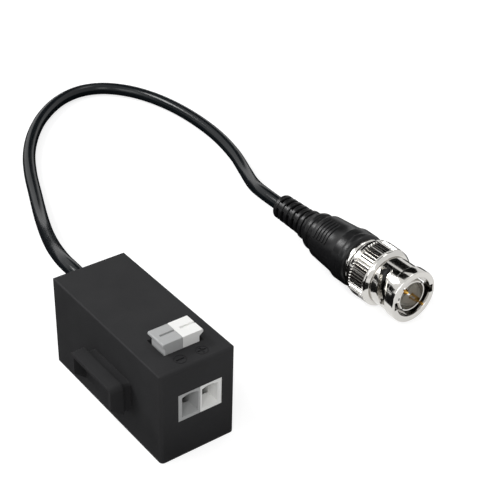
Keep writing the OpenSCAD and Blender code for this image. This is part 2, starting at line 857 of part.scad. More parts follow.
module plug_dielectric() color(white) {
    on_plug() difference() {
        union() {
            translate([0, 0, insulator_u[0]])
                cylinder(r = contact_bore_r - 0.03, h = shell_step_u - 0.03 - insulator_u[0]);
            translate([0, 0, insulator_u[0] + 1])
                cylinder(r = shell_tail_r - 0.03, h = insulator_u[1] - insulator_u[0] - 1);
        }
        translate([0, 0, insulator_u[0] - 1]) cylinder(r = pin_r + 0.06, h = plug_l);
    }
}

module centre_pin() color(gold) {
    on_plug() rotate_extrude() polygon([
        [0, pin_u[0]], [pin_tip_r, pin_u[0]], [pin_r, pin_u[0] + 1], [pin_r, pin_u[1]],
        [0, pin_u[1]]
    ]);
}

module coax_core() color(white) {
    on_plug() translate([0, 0, insulator_u[1] + 0.05])
        cylinder(r = coax_core_r, h = ferrule_bore_u - insulator_u[1] - 0.3);
}

module crimp_ferrule() color(nickel) {
    on_plug() difference() {
        translate([0, 0, ferrule_u[0]]) cylinder(r = ferrule_r, h = ferrule_u[1] - ferrule_u[0]);
        translate([0, 0, ferrule_u[0] - 1]) cylinder(r = coax_core_r + fit, h = plug_l);
    }
}

module back_ring() color(nickel) {
    on_plug() rotate_extrude() polygon([
        [shaft_r + 0.02, ring_u[0]], [ring_r - ring_edge, ring_u[0]],
        [ring_r, ring_u[0] + ring_edge], [ring_r, ring_u[1]], [shaft_r + 0.02, ring_u[1]]
    ]);
}

// Rounded shoulder between two stations: a quarter circle joins the side to the end face
module shoulder(r_side, r_soft, u) {
    intersection() {
        translate([r_side - r_soft, u - r_soft]) circle(r_soft);
        translate([0, u - r_soft]) square([r_side + 1, r_soft + 1]);
    }
}

// Radius of the bell collar: an S-curve from its lip down to the boot
function bell_at(t) = bell_small_r + (bell_r - bell_small_r) * (1 + cos(180 * t)) / 2;

// Body of the moulding: a wide front band, a kink, then a taper to a rounded shoulder
module moulding_body() {
    rotate_extrude() {
        polygon([
            [0, moulding_u + 0.02], [wide_r - front_soft, moulding_u + 0.02],
            [wide_r - 0.32, moulding_u + 0.34], [wide_r, moulding_u + front_soft],
            [wide_r, kink_u - kink_run], [kink_r + 0.05, kink_u - 0.1], [kink_r, kink_u],
            [shoulder_r, shoulder_u - shoulder_soft], [shoulder_r - shoulder_soft, shoulder_u],
            [0, shoulder_u]
        ]);
        shoulder(shoulder_r, shoulder_soft, shoulder_u);
    }
}

module bell_collar() {
    lip_end = bell_u[0] + 2 * bell_lip;
    neck_r = bell_small_r - 0.3;
    run = bell_u[1] - 0.3 - lip_end;
    rotate_extrude() polygon(concat(
        [
            [0, shoulder_u - 0.5], [groove_r, shoulder_u - 0.5], [groove_r, bell_u[0]],
            [bell_r - bell_lip, bell_u[0]], [bell_r - 0.1, bell_u[0] + 0.1]
        ],
        [for (t = [0:0.125:1]) [bell_at(t), lip_end + t * run]],
        [[neck_r, bell_u[1]], [neck_r, bell_u[1] + rib_first + 0.1], [0, bell_u[1] + rib_first + 0.1]]
    ));
}

// Radius of a rib: a wide collar next to the bell, then ribs that get slowly smaller
function rib_radius(i) = i == 0 ? rib_collar_r : rib_r - rib_taper * i;

// Boot: a slim core with ribs, joined by bridges that turn a quarter from rib to rib
module boot() {
    gap = rib_pitch - rib_w;
    translate([0, 0, bell_u[1] - 0.5])
        cylinder(r = boot_core_r, h = plug_l - bell_u[1] + 0.5);
    for (i = [0:rib_n - 1]) {
        u = bell_u[1] + rib_first + rib_pitch * i;
        r = rib_radius(i);
        rotate_extrude() polygon([
            [0.5, u], [r - rib_soft, u], [r, u + rib_soft], [r, u + rib_w - rib_soft],
            [r - rib_soft, u + rib_w], [0.5, u + rib_w]
        ]);
        for (s = [-1, 1]) rotate([0, 0, 90 * (i % 2)])
            translate([s < 0 ? -bridge_x[1] : bridge_x[0], -bridge_w / 2, u - gap - 0.1])
                cube([bridge_x[1] - bridge_x[0], bridge_w, gap + 0.2]);
    }
}

// Fine grip ridges on the top of the moulding, near its shoulder
module grip_ridges() {
    taper = (kink_r - shoulder_r) / (shoulder_u - shoulder_soft - kink_u);
    for (i = [0:ridge_n - 1]) intersection() {
        u = kink_u + ridge_in + ridge_pitch * i;
        r = kink_r - taper * (u - kink_u);
        ring(2, r + ridge_rise, u - ridge_w / 2, u + ridge_w / 2);
        translate([-ridge_half, -10, u - 1]) cube([2 * ridge_half, 10, 2]);
    }
}

module plug_overmould() color(black) {
    bore_r = shaft_r + 0.02;
    on_plug() difference() {
        union() {
            moulding_body();
            bell_collar();
            boot();
            grip_ridges();
        }
        translate([0, 0, moulding_u - 1])
            cylinder(r = bore_r, h = shell_tail_u + 0.02 - moulding_u + 1);
        translate([0, 0, shell_tail_u])
            cylinder(r = ferrule_bore_r, h = ferrule_bore_u - shell_tail_u);
    }
}

housing_shell();
bottom_cover();
terminal_minus();
terminal_plus();
button_minus();
button_plus();
contact_minus();
contact_plus();
clamp_spring_minus();
clamp_spring_plus();
circuit_board();
ferrite_core();
winding_line();
winding_coax();
surge_suppressor();
film_capacitor();
chip_parts();
core_lead();
shield_lead();
cord_gland();
coax_cord();
plug_overmould();
back_ring();
coupling_nut();
thrust_washer();
wave_spring();
front_gasket();
plug_shell();
plug_dielectric();
centre_pin();
crimp_ferrule();
coax_core();
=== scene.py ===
# %% [markdown]
# # Dressing a video balun
#
# The frame is already exact: every piece sits at its real place and size, and the
# moving ones know their joints. This lesson gives each piece its finished form and
# surface. It starts with the frame, the camera and the cord, because they settle
# what can be seen, and then works from the box to the plug.

# %% Load the frame
import math

import bmesh
import bpy
from mathutils import Matrix, Vector
from mathutils.geometry import interpolate_bezier


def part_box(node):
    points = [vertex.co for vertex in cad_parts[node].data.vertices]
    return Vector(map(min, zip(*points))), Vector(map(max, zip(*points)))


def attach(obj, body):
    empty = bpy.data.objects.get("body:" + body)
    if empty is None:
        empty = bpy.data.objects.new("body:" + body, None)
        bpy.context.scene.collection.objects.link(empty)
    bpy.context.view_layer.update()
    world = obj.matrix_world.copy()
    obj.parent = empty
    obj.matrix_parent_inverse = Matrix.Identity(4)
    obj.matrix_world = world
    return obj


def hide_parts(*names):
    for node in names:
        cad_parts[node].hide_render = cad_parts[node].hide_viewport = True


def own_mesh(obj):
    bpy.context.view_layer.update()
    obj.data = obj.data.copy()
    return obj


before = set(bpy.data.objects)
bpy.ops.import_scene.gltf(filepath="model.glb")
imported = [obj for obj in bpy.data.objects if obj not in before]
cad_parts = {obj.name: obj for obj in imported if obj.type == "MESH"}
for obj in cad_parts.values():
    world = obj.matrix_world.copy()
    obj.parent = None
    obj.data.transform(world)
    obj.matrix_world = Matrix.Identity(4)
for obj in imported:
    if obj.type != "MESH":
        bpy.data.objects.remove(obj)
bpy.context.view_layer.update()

scene = bpy.context.scene
MM = 0.001

# %% [markdown]
# ## Camera
#
# A product photograph is easiest to match with a camera that looks at one point from
# a known turn and height. The three angles below are the photograph's. The focal
# length was measured in its pixels, so it is scaled by the sensor over the width.

# %% Camera
CAMERA_TURN = math.radians(-37.7)
CAMERA_HEIGHT = math.radians(33.1)
CAMERA_ROLL = math.radians(1.7)
CAMERA_REACH = 290.5 * MM
CAMERA_AIM = Vector((41.5, 18.4, 10.8)) * MM
PHOTO_WIDTH = 500
FOCAL_PIXELS = 1252


def camera_axes(turn, height, roll):
    """The camera's right, up and back directions, as the rows of a matrix."""
    back = Vector((
        math.sin(turn) * math.cos(height), -math.cos(turn) * math.cos(height), math.sin(height)
    ))
    right = (-back).cross(Vector((0, 0, 1))).normalized()
    up = back.cross(right)
    return Matrix((
        right * math.cos(roll) + up * math.sin(roll),
        up * math.cos(roll) - right * math.sin(roll),
        back,
    ))


axes = camera_axes(CAMERA_TURN, CAMERA_HEIGHT, CAMERA_ROLL)
camera = bpy.data.objects.new("camera", bpy.data.cameras.new("camera"))
camera.data.lens = camera.data.sensor_width * FOCAL_PIXELS / PHOTO_WIDTH
camera.data.clip_start = 0.01
camera.matrix_world = axes.transposed().to_4x4()
camera.location = CAMERA_AIM + CAMERA_REACH * axes[2]
scene.collection.objects.link(camera)
scene.camera = camera
print("camera lens, mm:", round(camera.data.lens, 2))

# %% [markdown]
# ## Measures taken from the frame
#
# Nothing is typed twice if the frame can say it. The plug is a set of turned pieces on
# one axis along Y, so its axis and its mouth come from the coupling nut's box, and a
# distance along the plug is counted from that mouth.

# %% Measures
nut_low, nut_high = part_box("coupling_nut")
PLUG_AXIS = (nut_low + nut_high) / 2
PLUG_AXIS.y = nut_low.y
gland_low, gland_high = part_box("cord_gland")
GLAND_AXIS = (gland_low + gland_high) / 2
GLAND_AXIS.y = gland_high.y
HOUSING_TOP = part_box("housing_shell")[1].z
print("plug axis, mm:", [round(c / MM, 2) for c in PLUG_AXIS])

# %% [markdown]
# ## Surfaces
#
# Each finish is one shader with a little noise in it. Moulded plastic has a fine grain
# from its mould, so it gets a bump a fraction of a millimetre wide and slight changes
# of roughness. The noise reads Object coordinates, in metres, so its scale is one over
# the grain's size, and the grain is the same size on every piece.

# %% Finish from a colour
def new_finish(name, colour, roughness, metallic=0.0, gloss=0.5):
    """A material whose colour is given as the photograph shows it, from 0 to 255."""
    material = bpy.data.materials.new(name)
    material.use_nodes = True
    shader = material.node_tree.nodes["Principled BSDF"]
    shader.inputs["Base Color"].default_value = (*as_linear(colour), 1)
    shader.inputs["Roughness"].default_value = roughness
    shader.inputs["Metallic"].default_value = metallic
    shader.inputs["Specular IOR Level"].default_value = gloss
    material.diffuse_color = (*as_linear(colour), 1)
    return material


def as_linear(colour):
    """Display levels from 0 to 255 as the linear light that a shader works in."""
    levels = [c / 255 for c in colour]
    return [c / 12.92 if c <= 0.04045 else ((c + 0.055) / 1.055) ** 2.4 for c in levels]


print("display grey 128 as light:", round(as_linear([128])[0], 3))


# %% Nodes and noise
def add_node(material, kind, **inputs):
    """A new node; an input may be a plain value or another node's output."""
    node = material.node_tree.nodes.new(kind)
    for name, value in inputs.items():
        socket = node.inputs[name.replace("_", " ")]
        if isinstance(value, bpy.types.NodeSocket):
            material.node_tree.links.new(value, socket)
        else:
            socket.default_value = value
    return node


def place_of(material):
    return add_node(material, "ShaderNodeTexCoord").outputs["Object"]


def grain(material, size, detail=2.0):
    """Noise whose lumps are about size millimetres wide."""
    noise = add_node(
        material, "ShaderNodeTexNoise", Vector=place_of(material), Scale=1 / (size * MM), Detail=detail
    )
    return noise.outputs["Fac"]


def turning_lines(material, pitch, along="Y"):
    """Fine rings round a turned piece: noise that changes along its axis alone."""
    parts = add_node(material, "ShaderNodeSeparateXYZ", Vector=place_of(material))
    noise = material.node_tree.nodes.new("ShaderNodeTexNoise")
    noise.noise_dimensions = "1D"
    noise.inputs["Scale"].default_value = 1 / (pitch * MM)
    noise.inputs["Detail"].default_value = 3
    material.node_tree.links.new(parts.outputs[along], noise.inputs["W"])
    return noise.outputs["Fac"]


print("noise scale of a 0.5 mm grain:", 1 / (0.5 * MM))


# %% [markdown]
# Three helpers use that noise: one lets roughness wander, one the colour, and one adds a
# bump. Painted images could do the same, but procedural noise never shows a seam.

# %% Variation and bump
def vary(material, socket, noise, low, high):
    """Let a shader input wander between two values with the noise."""
    span = add_node(material, "ShaderNodeMapRange", Value=noise, To_Min=low, To_Max=high)
    shader = material.node_tree.nodes["Principled BSDF"]
    material.node_tree.links.new(span.outputs["Result"], shader.inputs[socket])


def vary_colour(material, noise, one, other):
    """Let the colour wander between two display colours with the noise."""
    ramp = add_node(material, "ShaderNodeValToRGB", Fac=noise)
    for element, position, colour in zip(ramp.color_ramp.elements, (0.35, 0.65), (one, other)):
        element.position = position
        element.color = (*as_linear(colour), 1)
    shader = material.node_tree.nodes["Principled BSDF"]
    material.node_tree.links.new(ramp.outputs["Color"], shader.inputs["Base Color"])


def raise_grain(material, noise, depth, strength=1.0):
    """A bump of depth millimetres on top of any bump that is already there."""
    shader = material.node_tree.nodes["Principled BSDF"]
    bump = add_node(material, "ShaderNodeBump", Height=noise, Distance=depth * MM, Strength=strength)
    normal = shader.inputs["Normal"]
    if normal.is_linked:
        material.node_tree.links.new(normal.links[0].from_socket, bump.inputs["Normal"])
    material.node_tree.links.new(bump.outputs["Normal"], normal)


print("finish helpers:", [helper.__name__ for helper in (vary, vary_colour, raise_grain)])

# %% [markdown]
# ## Plastics
#
# The box is black moulded plastic with a matt, spark-eroded skin. The terminals are two
# shades of one hard, smooth plastic. The plug's moulding is soft vinyl with a satin
# skin, and the cord's jacket is the same vinyl drawn smooth, so it is darker and carries
# one thin bright line. One helper makes them all, because they differ only in numbers.

# %% Plastics
def moulded_plastic(name, dark, light, rough, grain_size, grain_depth, gloss):
    material = new_finish(name, light, rough, gloss=gloss)
    fine = grain(material, grain_size)
    vary_colour(material, grain(material, 9, detail=3), dark, light)
    vary(material, "Roughness", fine, rough - 0.05, rough + 0.07)
    raise_grain(material, fine, grain_depth, 0.6)
    return material


BLACK_ABS = moulded_plastic("black_abs", (42, 42, 43), (46, 46, 47), 0.6, 0.22, 0.01, 0.1)
GREY_PLASTIC = moulded_plastic("grey_plastic", (170, 171, 171), (176, 177, 177), 0.42, 0.5, 0.004, 0.25)
WHITE_PLASTIC = moulded_plastic("white_plastic", (238, 238, 236), (243, 243, 241), 0.4, 0.5, 0.004, 0.25)
BLACK_PVC = moulded_plastic("black_pvc", (17, 17, 18), (22, 22, 23), 0.3, 0.35, 0.004, 0.25)
CORD_PVC = moulded_plastic("cord_pvc", (12, 16, 19), (17, 21, 24), 0.2, 0.35, 0.003, 0.25)
GASKET = moulded_plastic("gasket", (48, 48, 50), (58, 58, 60), 0.55, 0.3, 0.01, 0.35)
PTFE = moulded_plastic("white_insulator", (222, 221, 216), (236, 235, 231), 0.45, 0.6, 0.006, 0.35)
plastics = (BLACK_ABS, GREY_PLASTIC, WHITE_PLASTIC, BLACK_PVC, CORD_PVC, GASKET, PTFE)
print("plastics:", [m.name for m in plastics])

# %% [markdown]
# ## Metals
#
# Bright nickel is nearly a mirror. What makes it look turned and not like liquid is a
# set of very fine rings, so its bump and its roughness follow noise along the axis.

# %% Metals
def metal(name, colour, rough, lines=None, smudge=0.04):
    material = new_finish(name, colour, rough, metallic=1.0)
    vary(material, "Roughness", grain(material, 2.5, detail=3), rough - smudge / 2, rough + smudge)
    if lines:
        raise_grain(material, turning_lines(material, lines), 0.0012, 0.35)
    raise_grain(material, grain(material, 0.6), 0.0015, 0.2)
    return material


NICKEL = metal("nickel", (200, 198, 194), 0.1, lines=0.12)
TINNED = metal("tinned_metal", (205, 205, 203), 0.28)
STEEL = metal("spring_steel", (188, 187, 184), 0.24)
GOLD = metal("gold", (236, 190, 98), 0.16, lines=0.15)
COPPER = metal("copper_wire", (196, 112, 66), 0.25)
print("metals:", [m.name for m in (NICKEL, TINNED, STEEL, GOLD, COPPER)])

# %% [markdown]
# ## Inside finishes
#
# The board, the core and the small parts sit behind closed walls, but a viewer may take
# the cover off, so they get plain true finishes too. The board's lacquer varies
# slightly in tone, in lumps about 9 mm wide.

# %% Inside finishes
FERRITE = moulded_plastic("ferrite", (46, 46, 50), (60, 60, 64), 0.6, 0.15, 0.02, 0.4)
COMPONENT = moulded_plastic("component", (30, 82, 150), (38, 92, 162), 0.3, 0.6, 0.003, 0.5)
FILM = moulded_plastic("film_coating", (146, 44, 34), (160, 52, 40), 0.32, 0.6, 0.004, 0.5)
CERAMIC = moulded_plastic("ceramic", (176, 156, 118), (190, 170, 132), 0.5, 0.2, 0.004, 0.4)
ENAMEL = moulded_plastic("red_enamel", (132, 52, 40), (150, 62, 48), 0.25, 0.5, 0.002, 0.5)
BOARD = moulded_plastic("board", (22, 92, 58), (34, 116, 76), 0.3, 1.4, 0.004, 0.5)
print("inside finishes:", [m.name for m in (FERRITE, COMPONENT, FILM, CERAMIC, ENAMEL, BOARD)])

# %% [markdown]
# ## Cord
#
# The cord is a thin coax of 3.5 mm. It leaves the gland level, sinks to the table in one
# long curve, turns through a wide loop and rises into the plug's boot. A Bezier curve
# passes through every point of the route, and each handle lies along the line between
# the two neighbours, a sixth of its length away, so the curve never kinks.

# %% Cord
CORD_WIDTH = 3.5
LOW = CORD_WIDTH / 2
CORD_ROUTE = [
    (0, 22.35, 16.2), (0.2, 28, 16), (1, 33.5, 15), (3.4, 41.5, 12.4), (6.8, 50.5, 8.8),
    (10.8, 60.5, 5.2), (15, 71, 2.9), (19.5, 82, LOW + 0.2), (24, 93, LOW), (29, 103, LOW),
    (35.5, 112.5, LOW), (43, 120.5, LOW), (51.5, 126.5, LOW), (59.5, 128.8, LOW),
    (66.5, 127, LOW), (72, 121.5, LOW), (75.8, 113.5, LOW), (78, 103.5, LOW),
    (78.6, 92.5, LOW), (77.8, 81.5, LOW), (75.4, 70.5, LOW + 0.1), (71.6, 60.5, 2.5),
    (67.4, 51.5, 4.4), (64.4, 43.5, 6.6), (63.5, 34.1, 7.3),
]


def cord_curve(name, route, width):
    """A round cord through the route's points, as one open spline."""
    curve = bpy.data.curves.new(name, "CURVE")
    curve.dimensions = "3D"
    curve.bevel_depth = width / 2 * MM
    curve.bevel_resolution = 6
    curve.resolution_u = 10
    spline = curve.splines.new("BEZIER")
    spline.bezier_points.add(len(route) - 1)
    points = [Vector(p) * MM for p in route]
    for i, knot in enumerate(spline.bezier_points):
        before = points[max(i - 1, 0)]
        after = points[min(i + 1, len(points) - 1)]
        reach = (after - before) / 6
        knot.co = points[i]
        knot.handle_left = points[i] - reach
        knot.handle_right = points[i] + reach
    return curve


def curve_length(spline):
    """Length of the spline, by summing short straight steps along it."""
    total = 0
    knots = spline.bezier_points
    for a, b in zip(knots[:-1], knots[1:]):
        steps = interpolate_bezier(a.co, a.handle_right, b.handle_left, b.co, 24)
        total += sum((q - p).length for p, q in zip(steps[:-1], steps[1:]))
    return total


cord_data = cord_curve("coax_lead", CORD_ROUTE, CORD_WIDTH)
CORD_LENGTH = curve_length(cord_data.splines[0])
cord_data.materials.append(CORD_PVC)
cord = bpy.data.objects.new("coax_lead", cord_data)
scene.collection.objects.link(cord)
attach(cord, "root")
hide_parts("coax_cord")
print("cord length, mm:", round(CORD_LENGTH / MM, 1))

# %% [markdown]
# ## Turned pieces
#
# Almost every plug piece was turned on a lathe, and Spin is the lathe of a mesh editor:
# it sweeps an outline round an axis. An outline's corners are bevelled as vertices
# first, which rounds them before they are swept. A bevel after the sweep would work
# too, but it has a hundred times as many edges to follow.

# %% Lathe
def lathe(outline, axis, steps=128):
    """Spin a closed outline of (radius, distance, softness) in mm round a line along Y."""
    bm = bmesh.new()
    corners = [bm.verts.new(axis + Vector((r, u, 0)) * MM) for r, u, _ in outline]
    for a, b in zip(corners, corners[1:] + corners[:1]):
        bm.edges.new((a, b))
    by_softness = {}
    for corner, (_, _, soft) in zip(corners, outline):
        by_softness.setdefault(soft, []).append(corner)
    for soft, group in sorted(by_softness.items()):
        if soft:
            round_corners(bm, group, soft)
    on_axis = [e for e in bm.edges if all(abs(v.co.x - axis.x) < 1e-7 for v in e.verts)]
    bmesh.ops.delete(bm, geom=on_axis, context="EDGES_FACES")
    spin(bm, axis, steps)
    return bm


def round_corners(bm, corners, soft):
    bmesh.ops.bevel(
        bm, geom=corners, offset=soft * MM, offset_type="OFFSET", segments=5, profile=0.5,
        affect="VERTICES", clamp_overlap=True, material=-1,
    )


def spin(bm, axis, steps, direction=(0, 1, 0)):
    """A full turn of everything in bm, closed and with its faces outwards."""
    bmesh.ops.spin(
        bm, geom=bm.verts[:] + bm.edges[:], cent=axis, axis=direction, angle=2 * math.pi,
        steps=steps, use_merge=True,
    )
    bmesh.ops.remove_doubles(bm, verts=bm.verts[:], dist=1e-7)
    bmesh.ops.recalc_face_normals(bm, faces=bm.faces[:])


print("lathe steps by default:", lathe.__defaults__[0])

# %% [markdown]
# ## Moulded boxes
#
# Boxes come from the frame. They could be drawn again, but a copy keeps each hole where
# its neighbours need it. The copy is merged, its flat triangles are dissolved, and its
# sharp edges get the small radius that a mould leaves.


# %% Softened copy
def softened_copy(node, width, segments=2, sharp=30):
    """A CAD node's mesh, merged, with its sharp edges bevelled to width millimetres."""
    bm = bmesh.new()
    bm.from_mesh(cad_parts[node].data)
    bmesh.ops.remove_doubles(bm, verts=bm.verts[:], dist=1e-7)
    bmesh.ops.dissolve_limit(
        bm, angle_limit=math.radians(0.5), use_dissolve_boundaries=False,
        verts=bm.verts[:], edges=bm.edges[:],
    )
    edges = [e for e in bm.edges if e.is_manifold and e.calc_face_angle(0) > math.radians(sharp)]
    bmesh.ops.bevel(
        bm, geom=edges, offset=width * MM, offset_type="OFFSET", segments=segments, profile=0.5,
        affect="EDGES", clamp_overlap=True, material=-1,
    )
    return bm


print("edges are softened from, degrees:", softened_copy.__defaults__[1])

# %% [markdown]
# ## Cutting and joining
#
# Windows, slots and signs are cut the way a tool would cut them, by an exact boolean
# between two closed shapes. Shapes that don't touch are joined first, so that one cut
# does the work of many.


# %% Booleans
def scratch_object(bm, name):
    """A temporary object for a boolean; bm is used up."""
    mesh = bpy.data.meshes.new(name)
    bm.to_mesh(mesh)
    bm.free()
    thing = bpy.data.objects.new(name, mesh)
    scene.collection.objects.link(thing)
    return thing


def combine(bm, tool, operation):
    """Cut one closed shape with another, or join them, by an exact boolean."""
    work = scratch_object(bm, "work")
    other = scratch_object(tool, "tool")
    change = work.modifiers.new("change", "BOOLEAN")
    change.operation = operation
    change.solver = "EXACT"
    change.use_self = True
    change.object = other
    shaped = work.evaluated_get(bpy.context.evaluated_depsgraph_get())
    result = bmesh.new()
    result.from_mesh(shaped.to_mesh())
    shaped.to_mesh_clear()
    for thing in (work, other):
        mesh = thing.data
        bpy.data.objects.remove(thing)
        bpy.data.meshes.remove(mesh)
    bmesh.ops.remove_doubles(result, verts=result.verts[:], dist=2e-7)
    return result


def join(parts):
    """Several bmeshes as one; they don't touch each other."""
    whole = bmesh.new()
    for part in parts:
        mesh = bpy.data.meshes.new("part")
        part.to_mesh(mesh)
        part.free()
        whole.from_mesh(mesh)
        bpy.data.meshes.remove(mesh)
    return whole


# %% [markdown]
# ## Keeping a piece
#
# Each finished mesh becomes an object that rides a body, stands for its CAD node and
# takes its finish. Round faces are shaded smooth and corners stay sharp. Weighted
# normals let the large faces rule, so a flat face beside a bevel stays flat.


# %% Keep
def keep(bm, name, material, slot, body="root", stands_for=(), sharp=32):
    """The finished piece: smooth where it is round, sharp at its corners, on its body."""
    mesh = bpy.data.meshes.new(name)
    bm.to_mesh(mesh)
    bm.free()
    if "custom_normal" in mesh.attributes:
        mesh.attributes.remove(mesh.attributes["custom_normal"])
    mesh.materials.clear()
    mesh.materials.append(material)
    mesh.polygons.foreach_set("material_index", [0] * len(mesh.polygons))
    mesh.shade_smooth()
    mesh.set_sharp_from_angle(angle=math.radians(sharp))
    piece = bpy.data.objects.new(name, mesh)
    scene.collection.objects.link(piece)
    even = piece.modifiers.new("even", "WEIGHTED_NORMAL")
    even.keep_sharp = True
    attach(piece, body)
    if stands_for:
        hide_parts(*stands_for)
    print(name, "faces:", len(mesh.polygons))
    return piece


print("sharp corners start at, degrees:", keep.__defaults__[2])

# %% [markdown]
# ## Housing
#
# The box keeps its CAD form, rail and slot included. Its edges get the small radius of
# a mould. The two signs in front of the buttons are sunk into the top: a shallow ring
# with a deeper bar or cross inside, made as thin solids and subtracted. A bump could
# fake them, but a real groove also shows from low down and stays in the mesh itself.

# %% Signs
MARK_RING = 1.25
MARK_RING_LINE = 0.22
MARK_RING_DEPTH = 0.09
MARK_BAR = 1.9
MARK_BAR_LINE = 0.42
MARK_BAR_DEPTH = 0.2
MARK_X = (-2.3, 2.7)
MARK_Y = -17.6


def mark_bar(centre, turned):
    bm = bmesh.new()
    bmesh.ops.create_cube(bm, size=1)
    size = (MARK_BAR_LINE, MARK_BAR) if turned else (MARK_BAR, MARK_BAR_LINE)
    bmesh.ops.scale(bm, verts=bm.verts, vec=Vector((*size, 2 * MARK_BAR_DEPTH)) * MM)
    bmesh.ops.translate(bm, verts=bm.verts, vec=centre)
    return bm


def mark_ring(centre):
    bm = bmesh.new()
    half = Vector((MARK_RING_LINE / 2, 0, MARK_RING_DEPTH)) * MM
    middle = centre + Vector((MARK_RING * MM, 0, 0))
    corners = [
        bm.verts.new(middle + Vector((sx * half.x, 0, sz * half.z)))
        for sx, sz in ((-1, -1), (1, -1), (1, 1), (-1, 1))
    ]
    for a, b in zip(corners, corners[1:] + corners[:1]):
        bm.edges.new((a, b))
    spin(bm, centre, 48, direction=(0, 0, 1))
    return bm


print("sign rings, mm:", 2 * MARK_RING, "across, bars:", MARK_BAR)


# %% Housing and base cover
def housing_with_marks():
    """The second cut is the plus sign's upright, because the tools of one cut don't touch."""
    minus, plus = (Vector((x * MM, MARK_Y * MM, HOUSING_TOP)) for x in MARK_X)
    first = [mark_ring(minus), mark_bar(minus, False), mark_ring(plus), mark_bar(plus, False)]
    bm = combine(softened_copy("housing_shell", 0.16), join(first), "DIFFERENCE")
    return combine(bm, mark_bar(plus, True), "DIFFERENCE")


keep(housing_with_marks(), "housing", BLACK_ABS, "black_abs", stands_for=["housing_shell"])
keep(softened_copy("bottom_cover", 0.1), "base_cover", BLACK_ABS, "black_abs",
     stands_for=["bottom_cover"])

# %% [markdown]
# ## Terminals and push levers
#
# These are four small mouldings in two colours. They keep their CAD forms. A fine bevel
# on each edge catches the light the way that the real ones do.

# %% Terminals and levers
POLES = (("minus", GREY_PLASTIC, "grey_plastic"), ("plus", WHITE_PLASTIC, "white_plastic"))
for side, material, slot in POLES:
    keep(softened_copy(f"terminal_{side}", 0.07), f"terminal_block_{side}", material, slot,
         stands_for=[f"terminal_{side}"])
    keep(softened_copy(f"button_{side}", 0.12, segments=3), f"push_lever_{side}", material, slot,
         body=f"{side}_lever", stands_for=[f"button_{side}"])

# %% [markdown]
# ## Contacts and clamp springs
#
# Each wire is held by a bent leaf spring against a tinned bar. The spring gives way as
# its lever goes down. Here each spring only gets a mesh of its own.

# %% Contacts and springs
for side in ("minus", "plus"):
    keep(softened_copy(f"contact_{side}", 0.05), f"contact_bar_{side}", TINNED, "tinned_metal",
         stands_for=[f"contact_{side}"])
    leaf = keep(softened_copy(f"clamp_spring_{side}", 0.04), f"leaf_spring_{side}", STEEL,
                "spring_steel", stands_for=[f"clamp_spring_{side}"], sharp=40)
    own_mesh(leaf)

# %% [markdown]
# ## Gland
#
# The cord leaves the rear wall through a short round boss. It is turned: one outline
# with its flange inside the wall, its neck in the hole, and a soft outer rim. The neck
# runs a hair past both faces of the wall, so that no face lies in another.

# %% Gland
GLAND_BACK = 5.15
GLAND_RADIUS = 3.6
GLAND_NECK = 3.0
GLAND_BOSS = 2.0
WALL = 1.5


def gland_outline():
    wall_in = -(GLAND_BOSS + WALL + 0.05)
    wall_out = -GLAND_BOSS + 0.02
    return [
        (0, -GLAND_BACK, 0), (GLAND_RADIUS, -GLAND_BACK, 0.2), (GLAND_RADIUS, wall_in, 0.1),
        (GLAND_NECK, wall_in, 0), (GLAND_NECK, wall_out, 0), (GLAND_RADIUS, wall_out, 0.15),
        (GLAND_RADIUS, 0, 0.9), (0, 0, 0),
    ]


keep(lathe(gland_outline(), GLAND_AXIS, 72), "gland", BLACK_PVC, "black_pvc",
     stands_for=["cord_gland"], sharp=40)

# %% [markdown]
# ## Plug moulding
#
# The moulding is one piece of soft vinyl: a wide band behind the nut, a tapered body, a
# bell and a ribbed boot. It could be stacked from cones and rings, but one outline makes
# all of it without seams, with the bell as a cosine curve.

# %% Measures of the moulding
NUT_RADII = {"bore": 4.95, "shaft": 4.36, "collar": 6.5, "sleeve": 6.05, "rim": 7.05, "knurl": 7.25}
BAND_FRONT = 17.3
SEAM = BAND_FRONT + 2.3
KINK = BAND_FRONT + 5.6
SHOULDER = BAND_FRONT + 14.1
BAND_RADIUS = 6.8
KINK_RADIUS = 6.3
SHOULDER_RADIUS = 5.6
GROOVE_RADIUS = 4.6
BELL = (32.9, 36.4)
BELL_RADII = (4.9, 3.75)
RIB_COUNT = 6
RIB_FIRST = BELL[1] + 0.15
RIB_PITCH = 2.06
RIB_WIDTH = 1.1
RIB_RADIUS = 3.5
COLLAR_RADIUS = 3.85
VALLEY_RADIUS = 3.0
SLOT_FLOOR = 1.95
TAIL = RIB_FIRST + RIB_PITCH * (RIB_COUNT - 1) + RIB_WIDTH + 0.05
BRIDGE_WIDTH = math.radians(30)
BRIDGE_TURN = math.radians(51)
RIDGE_COUNT = 5
RIDGE_PITCH = 1.05
RIDGE_TURN = math.radians(35)
print("boot ribs:", RIB_COUNT, "moulding ends at, mm:", round(TAIL, 2))


# %% Bell and ribs
def bell_points(count=10):
    """The bell's S-curve, from its lip down to the boot."""
    start, end = BELL[0] + 0.7, BELL[1] - 0.3
    wide, narrow = BELL_RADII
    for i in range(count + 1):
        t = i / count
        radius = narrow + (wide - narrow) * (1 + math.cos(math.pi * t)) / 2
        yield (radius, start + t * (end - start), 0)


def rib_points():
    """Beads with valleys between them; the first is a wider collar beside the bell."""
    for i in range(RIB_COUNT):
        front = RIB_FIRST + RIB_PITCH * i
        radius = RIB_RADIUS - 0.06 * i if i else COLLAR_RADIUS
        back_valley = 2.3 if i == RIB_COUNT - 1 else VALLEY_RADIUS
        yield (VALLEY_RADIUS if i else 3.3, front, 0.04)
        yield (radius, front, 0.5)
        yield (radius, front + RIB_WIDTH, 0.5)
        yield (back_valley, front + RIB_WIDTH, 0.08)


print("bell points:", len(list(bell_points())), "rib points:", len(list(rib_points())))


